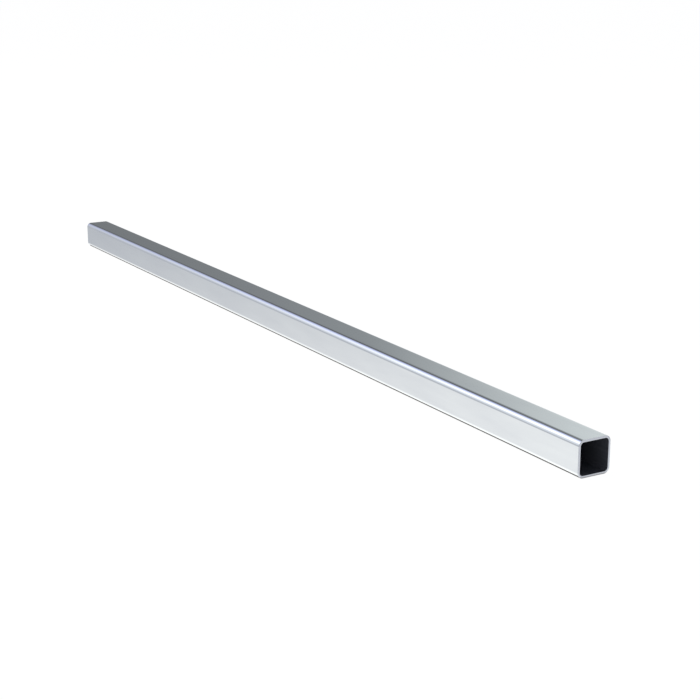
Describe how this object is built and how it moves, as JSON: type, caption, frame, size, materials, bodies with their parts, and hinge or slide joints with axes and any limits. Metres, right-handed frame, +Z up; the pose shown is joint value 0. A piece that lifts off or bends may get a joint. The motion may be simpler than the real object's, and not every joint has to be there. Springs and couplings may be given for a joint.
{
  "type": "square extension tube",
  "caption": "Straight square hollow tube with rounded corners, an even wall and open deburred ends, used to lengthen a frame, arm or stand.",
  "frame": {"origin": "centre of the lower flat, which the tube lies on, half way along its length", "axes": "+X along the tube, towards the end that the picture shows open; +Y across it, away from the flat side that the picture shows; +Z up through the upper flat"},
  "size_m": [1, 0.03, 0.03],
  "materials": {
    "zinc_plated_steel": "bright zinc plate, satin"
  },
  "bodies": {
    "root": {"square_tube": "zinc_plated_steel"}
  },
  "joints": []
}
